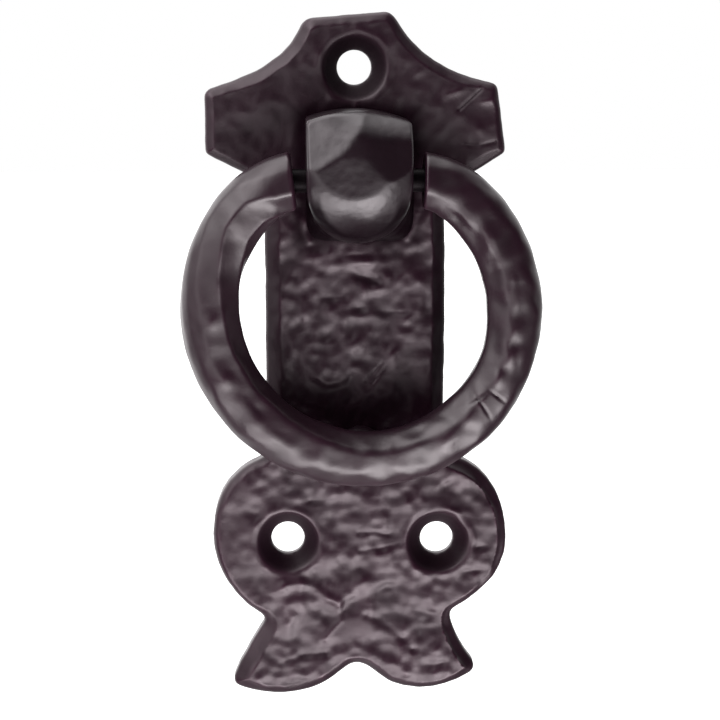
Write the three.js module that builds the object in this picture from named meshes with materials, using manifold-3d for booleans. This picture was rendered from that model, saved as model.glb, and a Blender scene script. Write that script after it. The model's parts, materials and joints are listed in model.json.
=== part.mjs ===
// Ring door knocker in cast iron: a backplate with three countersunk screw holes, a hinge lug riveted
// through it, a C-shaped ring hung on a steel pivot pin, and a strike stud behind the bottom of the ring.
// Millimetres. The object is drawn upright and facing the viewer, with x to the right, y up and z out of
// the door, and the last group turns it so that +Z is up and +Y goes into the door.
// The origin is on the backplate's flat back, on the centre line of its shaft.

import * as THREE from "three";
import { mergeVertices } from "three/addons/utils/BufferGeometryUtils.js";
import Module from "manifold-3d";

const wasm = await Module();
wasm.setup();

// Driving dimensions.
const FIT_GAP = 0.3; // between pieces that are riveted together or turn on each other

const PLATE_THICKNESS = 4.5;
const PLATE_BEVEL = { depth: 1.6, width: 1 };
const SHAFT = { left: -15.75, right: 15.9, top: 29.5, bottom: -18.5 };
const SHAFT_CHAMFER = { flatLeft: -13, flatRight: 13.3, depth: 1.9, fade: 5, leastWidth: 0.2 };

const SCREW_HOLE_RADIUS = 3;
const COUNTERSINK_RADIUS = 5.6;
const SCREW_HOLES = [
  new THREE.Vector2(0, 49.6),
  new THREE.Vector2(-12.05, -34.75),
  new THREE.Vector2(14.95, -35.05),
];

const HINGE = { y: 31, z: 13 };
const LUG = { x: 0.3, front: 21.5, side: 8.9, top: 11.4, bottom: 10.8 };
const LUG_EYE = { x: -0.9, y: 4.3, radius: 6.8 }; // the flat round eye on the lug's front, from the pivot
const LUG_FALL = { slope: 0.42, curve: 0.055 }; // how the front falls away all round the eye

// Flats filed from the lug's front to its upper edges: where each starts, from the pivot, which way it
// falls away, in degrees from the right, and how steeply.
const LUG_FLATS = [
  { x: -6.4, y: 2.7, towards: 122, slope: 0.51 },
  { x: -1.8, y: 4.8, towards: 76, slope: 0.2 },
  { x: 1.8, y: 3.3, towards: 43, slope: 0.38 },
  { x: 0, y: 7.2, towards: 70, slope: 0.95 },
  { x: 0, y: 9.1, towards: 82, slope: 1.8 },
];

const TANG = { width: 9, height: 6, headWidth: 12, headHeight: 9 };
const PEENED = { rim: 0.5, depth: 2 }; // how a riveted end fills its countersink at the plate's back
const PIN = { radius: 2, length: 30 };

const RING = { x: 1, y: 8.8, radius: 26.3, barWidth: 9.7, barDepth: 9.2 };
const RING_END = 11.15; // from the lug's middle to each end of the ring, along the pivot
const RING_SHOULDER = THREE.MathUtils.degToRad(50); // from the top, where the ring starts to flatten
const RING_OUT_OF_ROUND = 0.4; // longer along the diagonal that runs down to the right
const RING_LONG_ANGLE = THREE.MathUtils.degToRad(135);
const RING_SOCKET_END = 15.6; // from the lug's middle to the bottom of each pin socket

const STUD = { headRadius: 4.2, shankRadius: 2.2, rivetRadius: 3.7 };

// Materials.
const castIron = new THREE.MeshStandardMaterial({ color: 0x3a3035, roughness: 0.5, metalness: 0.35 });
const ringIron = new THREE.MeshStandardMaterial({ color: 0x40363b, roughness: 0.45, metalness: 0.35 });
const steel = new THREE.MeshStandardMaterial({ color: 0x2c2829, roughness: 0.4, metalness: 0.8 });

// Solids: a geometry becomes a manifold solid for cutting and joining, and comes back as a geometry.
function toSolid(geometry) {
  const bare = geometry.index ? geometry.toNonIndexed() : geometry.clone();
  for (const name of Object.keys(bare.attributes)) {
    if (name !== "position") bare.deleteAttribute(name);
  }
  const merged = mergeVertices(bare, 1e-4);
  return new wasm.Manifold(
    new wasm.Mesh({
      numProp: 3,
      vertProperties: merged.attributes.position.array,
      triVerts: new Uint32Array(merged.index.array),
    }),
  );
}

function toGeometry(solid) {
  const mesh = solid.getMesh();
  const geometry = new THREE.BufferGeometry();
  geometry.setAttribute("position", new THREE.BufferAttribute(mesh.vertProperties, 3));
  geometry.setIndex(new THREE.BufferAttribute(mesh.triVerts, 1));
  const flat = geometry.toNonIndexed();
  flat.computeVertexNormals();
  return flat;
}

function part(name, solid, material) {
  const mesh = new THREE.Mesh(toGeometry(solid), material);
  mesh.name = name;
  return mesh;
}

// A closed skin through a stack of convex outlines, back to front. All have the same number of points,
// and run anticlockwise as the viewer sees them.
function loft(outlines) {
  const count = outlines[0].length;
  const faces = [];
  for (let ring = 0; ring + 1 < outlines.length; ring++) {
    for (let j = 0; j < count; j++) {
      const a = ring * count + j;
      const b = ring * count + ((j + 1) % count);
      faces.push(a, b, b + count, a, b + count, a + count);
    }
  }
  const front = (outlines.length - 1) * count;
  for (let j = 1; j + 1 < count; j++) {
    faces.push(0, j + 1, j, front, front + j, front + j + 1);
  }
  const geometry = new THREE.BufferGeometry().setFromPoints(outlines.flat());
  geometry.setIndex(faces);
  return toSolid(geometry);
}

// A turned solid about an axis that runs out of the door through (x, y). The profile is [radius, z], from
// back to front.
function turned(profile, x, y, segments = 32) {
  const points = profile.map(([radius, z]) => new THREE.Vector2(radius, z));
  const geometry = new THREE.LatheGeometry(points, segments);
  geometry.rotateX(Math.PI / 2);
  geometry.translate(x, y, 0);
  return toSolid(geometry);
}

function cylinderAcross(radius, length, x) {
  const geometry = new THREE.CylinderGeometry(radius, radius, length, 24);
  geometry.rotateZ(Math.PI / 2);
  geometry.translate(x, HINGE.y, HINGE.z);
  return toSolid(geometry);
}

// The backplate's outline, clockwise from the head's top left corner. The head sweeps down to two square
// wings, a straight shaft joins it to two round lobes, and the lobes end in a pair of tails. The casting
// isn't quite symmetric.
function plateOutline() {
  const s = new THREE.Shape();
  s.moveTo(-9.5, 56.2);
  s.quadraticCurveTo(-9, 57.9, -7.4, 58.1);
  s.lineTo(5.1, 59.1);
  s.quadraticCurveTo(6.3, 59.1, 6.9, 58.1);
  s.bezierCurveTo(9.9, 53.7, 13.9, 48.8, 23.8, 47);
  s.quadraticCurveTo(24.8, 46.8, 24.9, 45.9);
  s.lineTo(26.4, 34.9);
  s.lineTo(15.8, 28.4);
  s.bezierCurveTo(16.2, 12, 16.2, -6, 15.7, -17.9);
  s.quadraticCurveTo(15.8, -18.8, 17, -19.2);
  s.bezierCurveTo(24.6, -21.3, 27.5, -27.9, 27.5, -35);
  s.bezierCurveTo(27.5, -41.4, 22.8, -44.9, 17.9, -48);
  s.quadraticCurveTo(17.2, -48.9, 17.6, -50.2);
  s.bezierCurveTo(18.3, -53.4, 20.1, -56.2, 21.6, -58.2);
  s.quadraticCurveTo(22.5, -59.4, 21.4, -60.5);
  s.bezierCurveTo(15.8, -63.5, 9.6, -64.6, 4.4, -60.5);
  s.quadraticCurveTo(1.9, -58.1, 0.5, -58.1);
  s.quadraticCurveTo(-0.8, -58.1, -3.2, -60.3);
  s.bezierCurveTo(-8.6, -64.6, -14.8, -64.6, -21, -62.5);
  s.quadraticCurveTo(-22.7, -61.9, -21.8, -60);
  s.bezierCurveTo(-20.4, -57, -18.4, -53.4, -16.5, -50.4);
  s.quadraticCurveTo(-16, -49.5, -16.8, -48.7);
  s.bezierCurveTo(-22.6, -44.5, -25.5, -39.6, -25.5, -33.4);
  s.bezierCurveTo(-25.5, -26.4, -22.2, -21.5, -16.7, -19.6);
  s.quadraticCurveTo(-15.8, -19.2, -15.7, -18.3);
  s.lineTo(-15.75, 29.9);
  s.lineTo(-25.9, 34.9);
  s.lineTo(-25.95, 44.9);
  s.quadraticCurveTo(-25.8, 45.7, -24.9, 46);
  s.bezierCurveTo(-19.4, 47.8, -12.2, 50.2, -9.5, 56.2);
  return s;
}

// The extrusion bevels both faces, so the back bevel is cut away to leave a flat back.
function plateBlank() {
  const geometry = new THREE.ExtrudeGeometry(plateOutline(), {
    depth: PLATE_THICKNESS,
    curveSegments: 7,
    bevelEnabled: true,
    bevelThickness: PLATE_BEVEL.depth,
    bevelSize: PLATE_BEVEL.width,
    bevelOffset: -PLATE_BEVEL.width,
    bevelSegments: 2,
  });
  geometry.translate(0, 0, -PLATE_BEVEL.depth);
  const behind = new THREE.BoxGeometry(80, 160, 20);
  behind.translate(0, 0, -10);
  return toSolid(geometry).subtract(toSolid(behind));
}

// The wedge taken off one long edge of the shaft, fading out at the wings and at the lobes.
function shaftChamfer(edge, flat) {
  const out = Math.sign(edge);
  const past = 0.5;
  const side = edge + out * past;
  const slope = SHAFT_CHAMFER.depth / Math.abs(edge - flat);
  const section = (y, faded) => {
    const start = faded ? edge - out * SHAFT_CHAMFER.leastWidth : flat;
    const drop = slope * Math.abs(side - start);
    const corners = [
      new THREE.Vector3(start - out * past, y, PLATE_THICKNESS + slope * past),
      new THREE.Vector3(side, y, PLATE_THICKNESS - drop),
      new THREE.Vector3(side, y, PLATE_THICKNESS + slope * past),
    ];
    return out > 0 ? corners : corners.reverse();
  };
  return loft([
    section(SHAFT.top, true),
    section(SHAFT.top - SHAFT_CHAMFER.fade, false),
    section(SHAFT.bottom + SHAFT_CHAMFER.fade, false),
    section(SHAFT.bottom, true),
  ]);
}

function screwHole(centre) {
  const rim = COUNTERSINK_RADIUS - SCREW_HOLE_RADIUS;
  const past = 0.5;
  return turned(
    [
      [0, -past],
      [SCREW_HOLE_RADIUS, -past],
      [SCREW_HOLE_RADIUS, PLATE_THICKNESS - rim],
      [COUNTERSINK_RADIUS + past, PLATE_THICKNESS + past],
      [0, PLATE_THICKNESS + past],
    ],
    centre.x,
    centre.y,
  );
}

// The lug's tang, peened over at the back. The mortise is the same shape with a gap round it.
function tang(gap, back, front) {
  const rectangle = (width, height, z) => [
    new THREE.Vector3(LUG.x - width / 2 - gap, HINGE.y - height / 2 - gap, z),
    new THREE.Vector3(LUG.x + width / 2 + gap, HINGE.y - height / 2 - gap, z),
    new THREE.Vector3(LUG.x + width / 2 + gap, HINGE.y + height / 2 + gap, z),
    new THREE.Vector3(LUG.x - width / 2 - gap, HINGE.y + height / 2 + gap, z),
  ];
  return loft([
    rectangle(TANG.headWidth, TANG.headHeight, back),
    rectangle(TANG.headWidth, TANG.headHeight, PEENED.rim + gap),
    rectangle(TANG.width, TANG.height, PEENED.depth + gap),
    rectangle(TANG.width, TANG.height, front),
  ]);
}

// The stud's shank, peened over at the back. Its hole is the same shape with a gap round it.
function shank(gap, back, front) {
  return turned(
    [
      [0, back],
      [STUD.rivetRadius + gap, back],
      [STUD.rivetRadius + gap, PEENED.rim + gap],
      [STUD.shankRadius + gap, PEENED.depth + gap],
      [STUD.shankRadius + gap, front],
      [0, front],
    ],
    RING.x,
    RING.y - RING.radius,
    24,
  );
}

function backplate() {
  let plate = plateBlank();
  plate = plate.subtract(shaftChamfer(SHAFT.left, SHAFT_CHAMFER.flatLeft));
  plate = plate.subtract(shaftChamfer(SHAFT.right, SHAFT_CHAMFER.flatRight));
  for (const hole of SCREW_HOLES) plate = plate.subtract(screwHole(hole));
  plate = plate.subtract(tang(FIT_GAP, -FIT_GAP, PLATE_THICKNESS + 1));
  plate = plate.subtract(shank(FIT_GAP, -FIT_GAP, PLATE_THICKNESS + 1));
  return part("backplate", plate, castIron);
}

// One outline of the lug at height z, grown all round. Its shoulders are square, and below the pivot it is
// anything from square (7) to round (2).
function lugOutline(z, grow, below) {
  const shoulders = 6;
  const points = [];
  const count = 48;
  for (let i = 0; i < count; i++) {
    const angle = (i / count) * 2 * Math.PI;
    const power = 2 / (Math.sin(angle) > 0 ? shoulders : below);
    const across = Math.sign(Math.cos(angle)) * Math.abs(Math.cos(angle)) ** power;
    const up = Math.sign(Math.sin(angle)) * Math.abs(Math.sin(angle)) ** power;
    const height = up > 0 ? LUG.top : LUG.bottom;
    points.push(new THREE.Vector3(LUG.x + across * (LUG.side + grow), HINGE.y + up * (height + grow), z));
  }
  return points;
}

// Everything behind the flat eye and the bowl that falls away from it, steeper and steeper.
function lugBowl() {
  const fall = (out) => LUG_FALL.slope * out + LUG_FALL.curve * out ** 2;
  const profile = [0, 1.5, 3, 4.5, 6, 8, 11].map((out) => [LUG_EYE.radius + out, LUG.front - fall(out)]);
  const [widest] = profile[profile.length - 1];
  return turned(
    [[0, 0], [widest, 0], ...profile.reverse(), [0, LUG.front]],
    LUG.x + LUG_EYE.x,
    HINGE.y + LUG_EYE.y,
    56,
  );
}

// What is left of the lug behind one of the flats filed on its front.
function behindFlat(lug, flat) {
  const towards = THREE.MathUtils.degToRad(flat.towards);
  const across = flat.slope * Math.cos(towards);
  const up = flat.slope * Math.sin(towards);
  const back = new THREE.Vector3(-across, -up, -1).normalize();
  const start = new THREE.Vector3(LUG.x + flat.x, HINGE.y + flat.y, LUG.front);
  return lug.trimByPlane(back.toArray(), back.dot(start));
}

function hingeLug() {
  const foot = PLATE_THICKNESS + FIT_GAP;
  const blank = loft([
    lugOutline(foot, 0.4, 7),
    lugOutline(foot + 1.5, 0.1, 5),
    lugOutline(HINGE.z - 4, 0, 3),
    lugOutline(HINGE.z - 1, 0, 2.2),
    lugOutline(LUG.front, 0, 2.2),
  ]);
  const body = LUG_FLATS.reduce(behindFlat, blank.intersect(lugBowl()));
  const bore = cylinderAcross(PIN.radius + FIT_GAP, PIN.length, LUG.x);
  const lug = body.add(tang(0, FIT_GAP, foot + 1)).subtract(bore);
  return part("hinge_lug", lug, castIron);
}

// The centre line of the ring's bar, from one end over the bottom to the other. It is a circle, slightly
// out of round, that flattens towards its two ends, so that both of them lie on the pivot.
class RingLine extends THREE.Curve {
  constructor() {
    super();
    this.rise = HINGE.y - RING.y;
    this.right = LUG.x + RING_END - RING.x;
    this.left = RING.x - LUG.x + RING_END;
  }

  getPoint(t, target = new THREE.Vector3()) {
    const start = Math.atan2(this.right, this.rise);
    const end = Math.atan2(this.left, this.rise);
    const angle = start + t * (2 * Math.PI - start - end);
    const onRight = angle < Math.PI;
    const fromTop = onRight ? angle : 2 * Math.PI - angle;
    const endAngle = onRight ? start : end;
    const endRadius = Math.hypot(onRight ? this.right : this.left, this.rise);
    const shoulder = Math.max(0, (RING_SHOULDER - fromTop) / (RING_SHOULDER - endAngle));
    const bent = RING_OUT_OF_ROUND * Math.cos(2 * (angle - RING_LONG_ANGLE)) * (1 - shoulder ** 2);
    const radius = RING.radius + bent - (RING.radius - endRadius) * shoulder ** 2;
    return target.set(RING.x + radius * Math.sin(angle), RING.y + radius * Math.cos(angle), HINGE.z);
  }
}

// The bar's section: nearly round, a little squared by the hammer.
function barSection() {
  const points = [];
  const count = 16;
  for (let i = 0; i < count; i++) {
    const angle = ((i + 0.5) / count) * 2 * Math.PI;
    const squared = (value) => Math.sign(value) * Math.abs(value) ** 0.85;
    points.push(
      new THREE.Vector2(
        (squared(Math.cos(angle)) * RING.barDepth) / 2,
        (squared(Math.sin(angle)) * RING.barWidth) / 2,
      ),
    );
  }
  return new THREE.Shape(points);
}

function knockerRing() {
  const geometry = new THREE.ExtrudeGeometry(barSection(), {
    steps: 64,
    extrudePath: new RingLine(),
    bevelEnabled: false,
  });
  let ring = toSolid(geometry);
  for (const side of [-1, 1]) {
    const length = RING_SOCKET_END - RING_END + 3;
    const middle = LUG.x + side * (RING_SOCKET_END - length / 2);
    ring = ring.subtract(cylinderAcross(PIN.radius + FIT_GAP, length, middle));
  }
  return part("knocker_ring", ring, ringIron);
}

function pivotPin() {
  return part("pivot_pin", cylinderAcross(PIN.radius, PIN.length, LUG.x), steel);
}

// The ring's back rests against the stud's domed head.
function strikeStud() {
  const underside = PLATE_THICKNESS + 0.1;
  const crown = HINGE.z - RING.barDepth / 2 - FIT_GAP;
  const rise = crown - underside;
  const head = turned(
    [
      [0, underside],
      [STUD.headRadius, underside],
      [STUD.headRadius, underside + rise * 0.35],
      [STUD.headRadius * 0.88, underside + rise * 0.68],
      [STUD.headRadius * 0.6, underside + rise * 0.91],
      [STUD.headRadius * 0.3, crown],
      [0, crown],
    ],
    RING.x,
    RING.y - RING.radius,
    24,
  );
  return part("strike_stud", head.add(shank(0, FIT_GAP, underside + 1)), castIron);
}

const knocker = new THREE.Group();
knocker.rotation.x = Math.PI / 2;
knocker.add(backplate(), hingeLug(), pivotPin(), knockerRing(), strikeStud());

export default knocker;
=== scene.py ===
# Ring door knocker: the detailed iron surfaces, their materials, the studio and the camera.
# Lengths in the modelling functions are millimetres in the frame's own axes: x to the right, y into the
# door and z up.

import json
import math

import bmesh
import bpy
import numpy as np
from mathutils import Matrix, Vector, geometry, noise


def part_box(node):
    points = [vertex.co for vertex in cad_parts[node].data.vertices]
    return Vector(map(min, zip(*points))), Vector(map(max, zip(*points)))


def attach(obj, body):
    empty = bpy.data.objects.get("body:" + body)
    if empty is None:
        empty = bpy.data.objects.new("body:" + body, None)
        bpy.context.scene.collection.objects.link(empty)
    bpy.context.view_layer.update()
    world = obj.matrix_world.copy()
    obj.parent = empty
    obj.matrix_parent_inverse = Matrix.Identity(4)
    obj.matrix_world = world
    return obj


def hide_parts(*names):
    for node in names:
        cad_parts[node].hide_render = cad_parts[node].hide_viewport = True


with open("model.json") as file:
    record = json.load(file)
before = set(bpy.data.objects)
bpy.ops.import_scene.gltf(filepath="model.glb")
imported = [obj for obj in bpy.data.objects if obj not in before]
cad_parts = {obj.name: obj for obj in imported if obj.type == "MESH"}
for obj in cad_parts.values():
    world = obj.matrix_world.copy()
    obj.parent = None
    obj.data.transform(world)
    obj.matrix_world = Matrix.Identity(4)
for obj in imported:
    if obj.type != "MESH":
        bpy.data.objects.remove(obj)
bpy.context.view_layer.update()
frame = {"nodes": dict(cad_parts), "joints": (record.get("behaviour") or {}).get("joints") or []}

MM = 0.001
TAU = 2 * math.pi


# ---------------- reading the frame

def node_box(node):
    low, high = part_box(node)
    return np.array(low) / MM, np.array(high) / MM


HINGE = np.array(frame["joints"][0]["pos_m"]) / MM
PLATE_LOW, PLATE_HIGH = node_box("backplate")
LUG_LOW, LUG_HIGH = node_box("hinge_lug")
RING_LOW, RING_HIGH = node_box("knocker_ring")
PIN_LOW, PIN_HIGH = node_box("pivot_pin")
STUD_LOW, STUD_HIGH = node_box("strike_stud")
PLATE_THICKNESS = PLATE_HIGH[1] - PLATE_LOW[1]
LUG_X = 0.5 * (LUG_LOW[0] + LUG_HIGH[0])
LUG_FRONT = -LUG_LOW[1]


def back_loops(node):
    """The closed loops round the node's faces that lie at y = 0, as arrays of (x, z), the longest first."""
    bm = bmesh.new()
    bm.from_mesh(frame["nodes"][node].data)
    bmesh.ops.remove_doubles(bm, verts=bm.verts, dist=1e-6)
    back = {f for f in bm.faces if all(abs(v.co.y) < 1e-6 for v in f.verts)}
    follow = {}
    for face in back:
        for loop in face.loops:
            if sum(f in back for f in loop.edge.link_faces) == 1:
                follow[loop.vert] = loop.link_loop_next.vert
    loops = []
    while follow:
        start, vert = follow.popitem()
        points = [start]
        while vert is not start:
            points.append(vert)
            vert = follow.pop(vert)
        loops.append(np.array([(v.co.x / MM, v.co.z / MM) for v in points]))
    bm.free()
    return sorted(loops, key=lambda p: -np.ptp(p[:, 1]))


# ---------------- general helpers

def smoothstep(start, end, value):
    """0 up to the start and 1 from the end on. The end may be the lower of the two."""
    t = np.clip((value - start) / (end - start), 0, 1)
    return t * t * (3 - 2 * t)


def perlin(points, scale, seed):
    """Perlin noise at each row of points, with features about 2 x scale across."""
    scaled = np.asarray(points, float) / scale
    offset = np.array([seed * 17.3, seed * 5.9, seed * 11.1])
    return np.array([noise.noise(Vector(p)) for p in scaled + offset])


def flat_points(xz):
    return np.column_stack([xz[:, 0], np.zeros(len(xz)), xz[:, 1]])


def soft_min(values, softness):
    """The least of each row's values, rounded over where two of them meet."""
    least = values.min(axis=1)
    return least - softness * np.log(np.exp((least[:, None] - values) / softness).sum(axis=1))


def add_attribute(mesh, name, values):
    attribute = mesh.attributes.new(name, "FLOAT", "POINT")
    attribute.data.foreach_set("value", np.asarray(values, np.float32))


def edge_sharpness(mesh):
    """How strongly the surface turns outward at each point, from 0 on the flat to 1 on a crisp edge."""
    count = len(mesh.vertices)
    places = np.empty(count * 3)
    normals = np.empty(count * 3)
    mesh.vertices.foreach_get("co", places)
    mesh.vertex_normals.foreach_get("vector", normals)
    places = places.reshape(-1, 3) / MM
    normals = normals.reshape(-1, 3)
    ends = np.empty(len(mesh.edges) * 2, int)
    mesh.edges.foreach_get("vertices", ends)
    a, b = ends.reshape(-1, 2).T
    step = places[b] - places[a]
    bend = np.sum((normals[b] - normals[a]) * step, axis=1) / np.maximum(np.sum(step**2, axis=1), 1e-4)
    total = np.bincount(a, bend, count) + np.bincount(b, bend, count)
    shared = np.bincount(a, minlength=count) + np.bincount(b, minlength=count)
    turn = total / np.maximum(shared, 1)
    for _ in range(3):
        spread = np.bincount(a, turn[b], count) + np.bincount(b, turn[a], count)
        turn = 0.5 * turn + 0.5 * spread / np.maximum(shared, 1)
    return smoothstep(0.12, 0.9, turn)


def fix_normals(mesh):
    bm = bmesh.new()
    bm.from_mesh(mesh)
    bmesh.ops.recalc_face_normals(bm, faces=bm.faces)
    bm.to_mesh(mesh)
    bm.free()
    mesh.update()


def make_piece(name, points, faces, body, replaced, material, relief, painted_shade=None, sharp=50):
    mesh = bpy.data.meshes.new(name)
    mesh.from_pydata([tuple(p) for p in np.asarray(points) * MM], [], faces)
    mesh.validate()
    fix_normals(mesh)
    mesh.shade_smooth()
    mesh.set_sharp_from_angle(angle=math.radians(sharp))
    add_attribute(mesh, "relief", relief)
    # The painted shade goes to the material as an attribute.
    add_attribute(mesh, "painted_shade", np.zeros(len(points)) if painted_shade is None else painted_shade)
    # The material lightens the crisp edges from this: partly rubbed wear, partly painted highlight.
    add_attribute(mesh, "wear_and_highlight", edge_sharpness(mesh))
    piece = bpy.data.objects.new(name, mesh)
    bpy.context.scene.collection.objects.link(piece)
    mesh.materials.append(material)
    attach(piece, body)
    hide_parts(*replaced)
    return piece


def band_faces(first, second):
    """Quads between two closed rows of point numbers of the same length."""
    count = len(first)
    return [(first[j], first[(j + 1) % count], second[(j + 1) % count], second[j]) for j in range(count)]


def loft_faces(rings, count):
    """Quads along a stack of rings, each of them count points."""
    faces = []
    for ring in range(rings - 1):
        start = ring * count
        faces += band_faces(range(start, start + count), range(start + count, start + 2 * count))
    return faces


def closed_loft_faces(rings, count):
    """The same with a flat face over each end."""
    last = (rings - 1) * count
    return loft_faces(rings, count) + [tuple(range(count)), tuple(range(last, last + count))]


# ---------------- marks left by the hammer and the pattern

def blows(places, marks):
    """Height of bumps and dents: (middle a, middle b, height, half length, half width, turn in degrees)."""
    total = np.zeros(len(places))
    for a, b, height, length, width, turn in marks:
        c, s = math.cos(math.radians(turn)), math.sin(math.radians(turn))
        da, db = places[:, 0] - a, places[:, 1] - b
        along = (da * c + db * s) / length
        across = (db * c - da * s) / width
        total += height * np.exp(-(along**2) - across**2)
    return total


def strokes(xz, lines):
    """Height of ridges and grooves that follow a line of points: (height, half width, points)."""
    total = np.zeros(len(xz))
    for height, width, line in lines:
        near = np.full(len(xz), np.inf)
        for start, end in zip(line, line[1:]):
            start, span = np.array(start), np.subtract(end, start)
            t = np.clip((xz - start) @ span / (span @ span), 0, 1)
            gap = xz - start - t[:, None] * span
            near = np.minimum(near, np.hypot(gap[:, 0], gap[:, 1]))
        total += height * np.exp(-((near / width) ** 2))
    return total


# On the plate, in x and z.
PLATE_BLOWS = [
    # the shaft
    (1.7, 13.3, -0.4, 3.2, 0.8, -16), (1.0, 15.9, 0.3, 4.2, 0.9, 2), (0.0, 17.2, -0.15, 2.0, 0.5, 0),
    (-6.0, 17.0, 0.35, 2.2, 1.3, 4), (-5.5, 14.4, -0.2, 1.6, 0.8, 0), (2.6, 11.2, 0.3, 2.2, 1.3, 15),
    (-5.8, 12.3, 0.2, 1.6, 1.1, 0), (0.3, 1.9, 0.42, 4.0, 1.3, 36), (8.6, 5.5, 0.25, 1.1, 0.9, 0),
    (7.8, 3.3, 0.25, 1.0, 0.9, 20), (-9.0, 7.0, 0.3, 1.6, 2.1, 0), (-11.0, 2.0, 0.3, 1.3, 1.6, 0),
    (-5.6, 1.4, 0.25, 2.2, 1.0, 0), (0.8, 6.3, 0.22, 1.5, 0.8, 0), (6.6, -0.6, 0.3, 1.7, 1.3, -10),
    (1.2, 7.7, -0.2, 1.4, 0.6, 0), (7.4, 6.9, -0.2, 2.2, 0.5, 0), (-3.7, 9.5, -0.15, 1.8, 0.6, 0),
    (-3.4, -5.4, 0.25, 1.9, 0.9, 10), (-7.3, -4.6, 0.2, 1.2, 0.8, 0), (9.2, 13.6, 0.2, 2.4, 2.2, 0),
    # the head
    (17.4, 45.5, 0.3, 1.9, 0.8, 18), (22.9, 43.9, 0.28, 1.5, 0.6, 0), (21.6, 38.9, 0.3, 2.2, 1.4, 10),
    (14.2, 43.0, 0.16, 1.4, 1.0, 0), (10.6, 48.6, 0.12, 2.6, 0.8, 25), (8.6, 51.2, 0.14, 1.4, 1.2, 50),
    (-17.5, 38.5, -0.25, 2.6, 2.2, 0), (-20.0, 42.0, 0.12, 3.5, 1.2, 10), (0.2, 43.2, 0.2, 0.5, 1.0, 0),
    # the lobes
    (-17.6, -29.6, -0.3, 1.6, 0.9, -20), (-7.6, -27.4, -0.3, 1.7, 0.6, 8), (-4.4, -26.3, 0.2, 1.2, 1.0, 0),
    (-11.6, -25.6, -0.2, 1.6, 0.8, 20), (5.2, -37.4, 0.3, 2.8, 1.2, 10), (1.2, -40.0, -0.3, 1.1, 1.1, 0),
    (0.5, -42.3, 0.4, 1.8, 1.3, 0), (5.4, -43.8, -0.25, 2.4, 0.9, 15), (-0.8, -46.4, -0.5, 1.7, 1.4, 0),
    (22.8, -36.2, -0.35, 1.2, 0.6, 0), (21.4, -40.6, -0.25, 1.8, 0.6, 6), (-2.6, -38.0, -0.25, 1.0, 1.8, 20),
    (-5.0, -38.6, 0.2, 1.3, 1.0, 0), (17.4, -27.0, 0.2, 1.8, 1.2, 30), (16.4, -24.6, -0.25, 1.6, 0.7, 35),
    # the tails
    (0.2, -50.0, 0.25, 3.8, 3.2, 0), (-5.8, -48.2, -0.5, 2.6, 1.6, -28), (-12.3, -50.0, 0.35, 1.5, 1.6, 0),
    (-11.5, -53.4, -0.25, 2.8, 1.0, 0), (10.7, -55.3, -0.3, 0.7, 0.6, 0), (6.1, -55.9, -0.3, 1.7, 1.2, 0),
    (13.0, -51.4, -0.2, 1.8, 0.8, 0), (16.0, -58.0, -0.25, 1.2, 0.6, 20), (14.5, -55.6, 0.22, 2.0, 1.0, 0),
    (12.6, -48.4, -0.25, 2.2, 0.7, -10),
]
PLATE_STROKES = [
    # a pair of chisel cuts low on the shaft, and one on the right wing
    (-0.14, 0.22, [(4.9, -2.0), (1.9, -5.3)]), (-0.12, 0.2, [(5.5, -2.9), (3.0, -5.7)]),
    (-0.22, 0.3, [(21.9, 45.9), (18.1, 42.4)]), (-0.15, 0.3, [(24.4, 36.9), (21.5, 36.2), (19.0, 36.4)]),
    # cracks between the screw holes
    (-0.18, 0.5, [(0.8, -33.3), (3.4, -33.0), (6.0, -33.6)]),
    (-0.18, 0.55, [(1.0, -36.6), (4.4, -36.3), (8.0, -35.4)]),
    # the arched ridge over the left tail, the edge that drops from it, and the lips along the bottom
    (0.4, 0.95, [(-14.4, -44.0), (-12.6, -42.6), (-10.0, -42.2), (-7.0, -43.4), (-4.8, -45.2),
                 (-3.0, -46.1)]),
    (0.2, 0.6, [(-2.9, -47.0), (-2.7, -49.6), (-5.6, -53.0)]),
    (-0.28, 0.7, [(-13.4, -57.8), (-10.0, -56.4), (-5.2, -56.0)]),
    (-0.2, 0.8, [(2.2, -48.6), (5.4, -50.4), (8.8, -53.2)]),
    (-0.14, 0.8, [(8.8, -53.2), (12.0, -50.6), (15.4, -47.9)]),
    (0.25, 1.0, [(-17.6, -60.6), (-9.0, -59.9), (-4.0, -56.6), (0.0, -54.6), (4.8, -56.9), (11.0, -60.2),
                 (17.0, -59.6)]),
]

# Low ridges where the lug's lower corners run out over the plate, in x and z.
LUG_LEGS = [
    [(-8.9, 23.4), (-8.6, 21.4), (-7.9, 19.7)],
    [(10.8, 24.4), (10.1, 22.1), (9.1, 20.1)],
]
LEG_HEIGHT, LEG_HALF_WIDTH = 0.24, 0.6

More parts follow.
